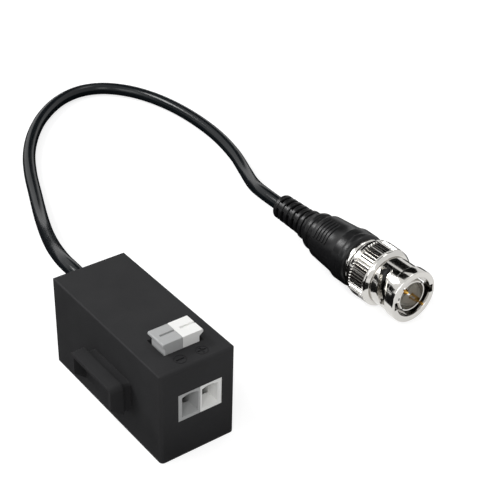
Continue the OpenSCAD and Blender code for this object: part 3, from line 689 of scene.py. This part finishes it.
# %% Moulding outline
def moulding_outline():
    core = NUT_RADII["shaft"] - 0.04
    return [
        (0, 29.2, 0), (2.52, 29.2, 0), (2.52, 24, 0), (core, 24, 0), (core, BAND_FRONT + 0.02, 0),
        (BAND_RADIUS, BAND_FRONT + 0.02, 1.0), (BAND_RADIUS, SEAM - 0.1, 0),
        (BAND_RADIUS - 0.05, SEAM, 0), (BAND_RADIUS, SEAM + 0.1, 0),
        (BAND_RADIUS, KINK - 1.3, 3.0), (KINK_RADIUS, KINK, 2.5),
        (SHOULDER_RADIUS, SHOULDER, 1.4), (GROOVE_RADIUS, SHOULDER, 0.15),
        (GROOVE_RADIUS, BELL[0], 0.15), (BELL_RADII[0], BELL[0], 0.35), *bell_points(),
        (3.4, BELL[1], 0.1), *rib_points(), (2.2, TAIL, 0.1), (0, TAIL, 0),
    ]


moulding = lathe(moulding_outline(), PLUG_AXIS)
print("moulding turned, faces:", len(moulding.faces))

# %% [markdown]
# Pairs of windows are cut between the ribs, which is what lets a real boot bend, and
# low ridges on the tapered body give a finger its grip. Both are parts of square rings,
# so one helper spins a rectangle through part of a turn.


# %% Parts of rings
def ring_sector(radii, distances, start, sweep, steps=16):
    """Part of a square ring round the plug's axis; angles run from +Z towards -X."""
    bm = bmesh.new()
    low, high = radii
    front, back = distances
    section = [(low, front), (high, front), (high, back), (low, back)]
    bm.faces.new([bm.verts.new(PLUG_AXIS + Vector((0, u, r)) * MM) for r, u in section])
    turn = Matrix.Rotation(-start, 3, "Y")
    bmesh.ops.rotate(bm, verts=bm.verts[:], cent=PLUG_AXIS, matrix=turn)
    bmesh.ops.spin(
        bm, geom=bm.faces[:] + bm.edges[:] + bm.verts[:], cent=PLUG_AXIS, axis=(0, -1, 0),
        angle=sweep, steps=steps,
    )
    bmesh.ops.recalc_face_normals(bm, faces=bm.faces[:])
    return bm


print("ring parts have steps:", ring_sector.__defaults__[0])


# %% Windows of the boot
def boot_slots():
    """Two windows in each valley, between a bridge on the upper side and one below."""
    cuts = []
    sweep = math.pi - BRIDGE_WIDTH
    for i in range(RIB_COUNT - 1):
        front = RIB_FIRST + RIB_PITCH * i + RIB_WIDTH
        back = RIB_FIRST + RIB_PITCH * (i + 1)
        for half in (0, math.pi):
            start = BRIDGE_TURN + BRIDGE_WIDTH / 2 + half
            cuts.append(ring_sector((SLOT_FLOOR, 5.5), (front + 0.05, back - 0.05), start, sweep))
    return join(cuts)


moulding = combine(moulding, boot_slots(), "DIFFERENCE")
print("windows:", 2 * (RIB_COUNT - 1))


# %% Grip ridges
def grip_ridges():
    """Short bands on the upper side of the tapered body, with soft edges."""
    ridges = []
    taper = (KINK_RADIUS - SHOULDER_RADIUS) / (SHOULDER - KINK)
    for i in range(RIDGE_COUNT):
        middle = KINK + 2.6 + RIDGE_PITCH * i
        radius = KINK_RADIUS - taper * (middle - KINK)
        half = math.asin(3 / radius)
        ridges.append(ring_sector(
            (radius - 1, radius + 0.22), (middle - 0.24, middle + 0.24), RIDGE_TURN - half, 2 * half
        ))
    ridges = join(ridges)
    edges = [e for e in ridges.edges if e.is_manifold and e.calc_face_angle(0) > 1]
    bmesh.ops.bevel(ridges, geom=edges, offset=0.1 * MM, offset_type="OFFSET", segments=2,
                    profile=0.5, affect="EDGES", clamp_overlap=True, material=-1)
    return ridges


moulding = combine(moulding, grip_ridges(), "UNION")
moulding = keep(moulding, "plug_moulding", BLACK_PVC, "black_pvc", stands_for=["plug_overmould"],
                sharp=40)

# %% [markdown]
# ## Coupling nut
#
# The nut is turned from brass and plated. Its knurl is cut by a wheel, and here it is
# cut the same way: the outline is spun in many steps, and then every vertex in the band
# moves towards the axis by a depth that repeats with each tooth. An array of teeth
# would need sixty booleans.

# %% Nut and knurl
TOOTH_COUNT = 60
STEPS_A_TOOTH = 6
TOOTH_DEPTH = 0.42
KNURL = (9.5, 14.2)
KNURL_FADE = 0.3


def nut_outline():
    r = NUT_RADII
    return [
        (r["bore"], 0, 0.15), (r["collar"], 0, 0.3), (r["collar"], 2.8, 0.2),
        (r["sleeve"], 2.8, 0.05), (r["sleeve"], 8.1, 0.1), (5.9, 8.15, 0), (5.9, 8.3, 0),
        (6.35, 8.3, 0.05), (r["rim"], 9.0, 0.15), (r["rim"], KNURL[0] - 0.15, 0.05),
        (r["knurl"], KNURL[0], 0), (r["knurl"], KNURL[0] + KNURL_FADE, 0),
        (r["knurl"], KNURL[1] - KNURL_FADE, 0), (r["knurl"], KNURL[1], 0),
        (r["rim"], KNURL[1] + 0.15, 0.05), (r["rim"], 15.1, 0.15), (6.55, 15.6, 0.1),
        (6.15, 16.3, 0.15), (r["shaft"], 16.3, 0.1), (r["shaft"], 11.6, 0), (r["bore"], 11.6, 0),
    ]


def cut_knurl(bm):
    """Sink a groove between each pair of teeth, fading out at the knurl's ends."""
    for v in bm.verts:
        arm = v.co - PLUG_AXIS
        distance = arm.y / MM
        arm.y = 0
        inside = min(distance - KNURL[0], KNURL[1] - distance) / KNURL_FADE
        if inside <= 0 or arm.length < 7.0 * MM:
            continue
        phase = math.atan2(arm.z, arm.x) * TOOTH_COUNT
        groove = max(0.0, 0.25 - math.cos(phase)) / 1.25
        v.co -= arm.normalized() * TOOTH_DEPTH * min(inside, 1) * groove * MM


nut = lathe(nut_outline(), PLUG_AXIS, TOOTH_COUNT * STEPS_A_TOOTH)
cut_knurl(nut)
print("nut turned and knurled, faces:", len(nut.faces))

# %% [markdown]
# A J slot takes the socket's stud from the mouth round to a lock. It is drawn flat, as
# a ribbon with a round eye at its end, and then bent round the axis. A wider, thin
# ribbon under it makes the raised lip that the press tool leaves.

# %% Slot, drawn flat
SLOT_PATH = {"width": 2.1, "start": 3.9, "end": 6.3, "turn": 60, "eye": 1.3}


def slot_ribbon(extra, depths):
    """A J slot's run and its round eye as a bent ribbon; extra widens it all round."""
    bm = bmesh.new()
    sleeve = NUT_RADII["sleeve"]
    run = sleeve * math.radians(SLOT_PATH["turn"])
    rise = SLOT_PATH["end"] - SLOT_PATH["start"]
    straight, eye = 24, 12
    bmesh.ops.create_grid(bm, x_segments=straight + eye, y_segments=1, size=1)
    half = SLOT_PATH["width"] / 2 + extra
    reach = SLOT_PATH["eye"] + extra
    slope = math.atan2(rise, run)
    length = math.hypot(run, rise)
    lead_in = 1.2 + extra
    turn_off = math.sqrt(reach ** 2 - half ** 2)
    for v in bm.verts:
        step = round((v.co.x + 1) / 2 * (straight + eye))
        side = 1 if v.co.y > 0 else -1
        if step <= straight:
            along = -lead_in + (length - turn_off + lead_in) * step / straight
            across = half
        else:
            angle = math.pi - math.asin(half / reach)
            angle -= angle * (step - straight) / eye
            along = length + reach * math.cos(angle)
            across = max(reach * math.sin(angle), 0.02)
        v.co = Vector((
            along * math.cos(slope) - side * across * math.sin(slope),
            SLOT_PATH["start"] + along * math.sin(slope) + side * across * math.cos(slope),
            depths[0],
        ))
    wall = bmesh.ops.extrude_face_region(bm, geom=bm.faces[:])
    for v in wall["geom"]:
        if isinstance(v, bmesh.types.BMVert):
            v.co.z = depths[1]
    return bm


print("slot width, mm:", SLOT_PATH["width"], "turn, degrees:", SLOT_PATH["turn"])


# %% Slot, bent round the axis
def wrap(bm, turn):
    """Bend a flat form (arc length, distance, radius) round the plug's axis."""
    for v in bm.verts:
        angle = turn + v.co.x / NUT_RADII["sleeve"]
        v.co = PLUG_AXIS + Vector((
            v.co.z * math.cos(angle), v.co.y, -v.co.z * math.sin(angle)
        )) * MM
    bmesh.ops.triangulate(bm, faces=[f for f in bm.faces if len(f.verts) > 3])
    bmesh.ops.recalc_face_normals(bm, faces=bm.faces[:])
    return bm


CHANNEL_RADII = (4.0, 5.75)


def entry_channel(turn):
    """The channel inside the collar that leads a stud from the mouth to the slot."""
    bm = bmesh.new()
    bmesh.ops.create_cube(bm, size=1)
    half = SLOT_PATH["width"] / 2
    for v in bm.verts:
        v.co = Vector((
            CHANNEL_RADII[v.co.x > 0], SLOT_PATH["start"] + half if v.co.y > 0 else -1,
            half if v.co.z > 0 else -half,
        ))
    bmesh.ops.rotate(bm, verts=bm.verts[:], matrix=Matrix.Rotation(turn, 3, "Y"))
    for v in bm.verts:
        v.co = PLUG_AXIS + v.co * MM
    bmesh.ops.recalc_face_normals(bm, faces=bm.faces[:])
    return bm


print("channel radii, mm:", CHANNEL_RADII)

# %% Cut the slots
SLOT_TURNS = (math.radians(-5), math.radians(175))
lips = join([wrap(slot_ribbon(0.35, (5.6, 6.22)), turn) for turn in SLOT_TURNS])
slots = join([wrap(slot_ribbon(0, (4.2, 7.5)), turn) for turn in SLOT_TURNS])
channels = join([entry_channel(turn) for turn in SLOT_TURNS])
nut = combine(nut, lips, "UNION")
nut = combine(nut, slots, "DIFFERENCE")
nut = combine(nut, channels, "DIFFERENCE")
nut = keep(nut, "bayonet_nut", NICKEL, "nickel", body="nut", stands_for=["coupling_nut"], sharp=28)

# %% [markdown]
# ## Plug core
#
# Inside the nut are the slotted outer contact, a white insulator with the gold pin in
# it, a soft gasket at the contact's root, and the washer and waved spring that draw the
# nut back. The insulator, the pin, the gasket and the back ring are short turned
# outlines too, while the contact and the washer keep their CAD meshes. The spring's
# wave isn't round, so it keeps its CAD form; the real one flattens as the nut is pulled.

# %% Plug core
ring = keep(lathe([
    (4.32, 16.4, 0), (5.9, 16.4, 0.2), (6.1, 16.75, 0.15), (6.1, 17.3, 0.1), (4.32, 17.3, 0),
], PLUG_AXIS), "back_ring_bright", NICKEL, "nickel", stands_for=["back_ring"])

insulator = keep(lathe([
    (0.74, 5.4, 0.1), (2.3, 5.4, 0.1), (2.3, 5.9, 0.1), (2.9, 5.9, 0.1), (2.9, 5.4, 0.1),
    (3.47, 5.4, 0.1), (3.47, 8.97, 0), (2.57, 8.97, 0), (2.57, 20, 0), (0.74, 20, 0),
], PLUG_AXIS, 72), "insulator", PTFE, "white_plastic", stands_for=["plug_dielectric"])

pin = keep(lathe([
    (0, 1.9, 0), (0.22, 1.9, 0.12), (0.68, 2.9, 0.3), (0.68, 19.5, 0), (0, 19.5, 0),
], PLUG_AXIS, 48), "pin", GOLD, "gold", stands_for=["centre_pin"])

gasket = keep(lathe([
    (3.87, 6.9, 0.25), (4.75, 6.9, 0.25), (4.75, 8.0, 0.1), (3.87, 8.0, 0.1),
], PLUG_AXIS, 72), "gasket_ring", GASKET, "gasket", stands_for=["front_gasket"])

spring = keep(softened_copy("wave_spring", 0.03), "waved_spring", STEEL, "spring_steel",
              stands_for=["wave_spring"])
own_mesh(spring)

# %% [markdown]
# ## Pieces that keep their CAD mesh
#
# The rest is right as it is: the slotted contact, the board and its small parts. New
# meshes would add nothing, so each CAD node only takes one of the finishes made above.

# %% Finishes for CAD nodes
CAD_FINISHES = {
    "plug_shell": NICKEL, "thrust_washer": NICKEL, "crimp_ferrule": NICKEL, "coax_core": PTFE,
    "circuit_board": BOARD, "ferrite_core": FERRITE, "winding_line": COPPER,
    "winding_coax": ENAMEL, "surge_suppressor": COMPONENT, "film_capacitor": FILM,
    "chip_parts": CERAMIC, "core_lead": WHITE_PLASTIC, "shield_lead": COPPER,
}
for node, material in CAD_FINISHES.items():
    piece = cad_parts[node]
    piece.data.materials.clear()
    piece.data.materials.append(material)
print("CAD nodes finished:", len(CAD_FINISHES))

# %% [markdown]
# ## The cord's length
#
# A free cord has a real length, and the pieces on its far end hang on it. CORD_LENGTH,
# summed above, holds that length.

# %% [markdown]
# ## Floor, world and lamps
#
# The photograph stands on pure white. A white floor lit to exactly white would need too
# much light on the object, so most of the floor's white is its own, and a smaller part
# is lit, which keeps a faint shadow. The world is dim for matt surfaces and fully
# bright to the camera and in reflections. Four soft lamps shape the object: the one
# behind draws the bright lines on round black pieces.

# %% White for the camera
def whiteness(tree):
    """One for rays from the camera, and for those that metal and glass send on."""
    path = tree.nodes.new("ShaderNodeLightPath")
    total = path.outputs["Is Camera Ray"]
    for name in ("Is Glossy Ray", "Is Transmission Ray"):
        larger = tree.nodes.new("ShaderNodeMath")
        larger.operation = "MAXIMUM"
        tree.links.new(total, larger.inputs[0])
        tree.links.new(path.outputs[name], larger.inputs[1])
        total = larger.outputs["Value"]
    return total


print("ray kinds that see white: camera, glossy, transmission")

# %% Floor
FLOOR_OWN_WHITE = 0.72
FLOOR_REACH = 3.0
floor_paint = new_finish("floor_paint", (180, 180, 180), 0.9, gloss=0.1)
tree = floor_paint.node_tree
glow = tree.nodes.new("ShaderNodeEmission")
glow.inputs["Color"].default_value = (1, 1, 1, 1)
glow_level = tree.nodes.new("ShaderNodeMath")
glow_level.operation = "MULTIPLY"
glow_level.inputs[1].default_value = FLOOR_OWN_WHITE
tree.links.new(whiteness(tree), glow_level.inputs[0])
tree.links.new(glow_level.outputs["Value"], glow.inputs["Strength"])
both = tree.nodes.new("ShaderNodeAddShader")
tree.links.new(tree.nodes["Principled BSDF"].outputs["BSDF"], both.inputs[0])
tree.links.new(glow.outputs["Emission"], both.inputs[1])
tree.links.new(both.outputs["Shader"], tree.nodes["Material Output"].inputs["Surface"])
floor_mesh = bmesh.new()
bmesh.ops.create_grid(floor_mesh, x_segments=1, y_segments=1, size=FLOOR_REACH)
floor = scratch_object(floor_mesh, "floor")
floor.data.materials.append(floor_paint)
print("floor reach, m:", FLOOR_REACH)

# %% World
WORLD_LEVEL = 0.4
world = bpy.data.worlds.new("studio")
world.use_nodes = True
scene.world = world
tree = world.node_tree
sky = tree.nodes["Background"]
sky.inputs["Color"].default_value = (1, 1, 1, 1)
level = tree.nodes.new("ShaderNodeMapRange")
level.inputs["To Min"].default_value = WORLD_LEVEL
level.inputs["To Max"].default_value = 1.0
tree.links.new(whiteness(tree), level.inputs["Value"])
tree.links.new(level.outputs["Result"], sky.inputs["Strength"])
print("world level:", WORLD_LEVEL)

# %% Lamps
def towards(direction, reach):
    """The point at that distance from the camera's aim."""
    return CAMERA_AIM + Vector(direction).normalized() * reach


def face_aim(thing, place):
    thing.location = place
    thing.rotation_euler = (CAMERA_AIM - place).to_track_quat("-Z", "Y").to_euler()
    scene.collection.objects.link(thing)


LAMP_REACH = 0.6
LAMPS = {
    "back_softbox": {"from": (-0.386, 0.663, 0.642), "size": 0.16, "power": 1.55},
    "overhead_softbox": {"from": (0.35, 0.05, 0.94), "size": 0.16, "power": 0.38},
    "front_softbox": {"from": (-0.5, -0.6, 0.62), "size": 0.3, "power": 0.95},
    "left_softbox": {"from": (-0.85, 0.1, 0.5), "size": 0.3, "power": 0.9},
}
for name, lamp in LAMPS.items():
    light = bpy.data.lights.new(name, "AREA")
    light.size = lamp["size"]
    light.energy = lamp["power"]
    face_aim(bpy.data.objects.new(name, light), towards(lamp["from"], LAMP_REACH))
print("lamps:", list(LAMPS))

# %% [markdown]
# ## Flags
#
# Polished metal shows whatever stands round it. Photographers stand black cards, called
# flags, beside the softboxes, and the nut then carries dark streaks that tell its shape.
# These cards are seen in reflections alone: they take no light from the scene. Two of
# them lie on the floor, a hair above it, because round metal and vinyl mirror it too.

# %% Flags
FLAG_REACH = 0.75
FLAGS = {
    "flag_behind": {"from": (0.51, 0.66, 0.5), "size": (0.5, 0.45)},
    "flag_left": {"from": (-0.7, 0.66, 0.27), "size": (0.3, 0.22)},
    "flag_high": {"from": (0.05, 0.6, 0.8), "size": (0.3, 0.3)},
}
FLOOR_FLAGS = {
    "floor_flag_left": (-0.25, 0.05, -0.03, 0.3),
    "floor_flag_back": (0.05, 0.2, 0.0, 0.3),
}
FLOOR_FLAG_LIFT = 0.0004
flag_paint = new_finish("flag_paint", (12, 12, 12), 0.9, gloss=0.05)


# %% Cards
def flag_card(name, size, middle=(0, 0, 0)):
    """A black card that only reflections see."""
    card = bmesh.new()
    bmesh.ops.create_grid(card, x_segments=1, y_segments=1, size=0.5)
    bmesh.ops.scale(card, verts=card.verts, vec=(*size, 1))
    bmesh.ops.translate(card, verts=card.verts, vec=middle)
    mesh = bpy.data.meshes.new(name)
    card.to_mesh(mesh)
    card.free()
    mesh.materials.append(flag_paint)
    holder = bpy.data.objects.new(name, mesh)
    holder.visible_camera = False
    holder.visible_diffuse = False
    holder.visible_shadow = False
    return holder


for name, flag in FLAGS.items():
    standing = flag_card(name, flag["size"])
    face_aim(standing, towards(flag["from"], FLAG_REACH))
for name, (left, right, front, back) in FLOOR_FLAGS.items():
    middle = ((left + right) / 2, (front + back) / 2, FLOOR_FLAG_LIFT)
    lying = flag_card(name, (right - left, back - front), middle)
    scene.collection.objects.link(lying)
print("flags:", list(FLAGS) + list(FLOOR_FLAGS))

# %% [markdown]
# ## View settings and the end
#
# Standard view keeps white at white.

# %% Finish
scene.view_settings.view_transform = "Standard"
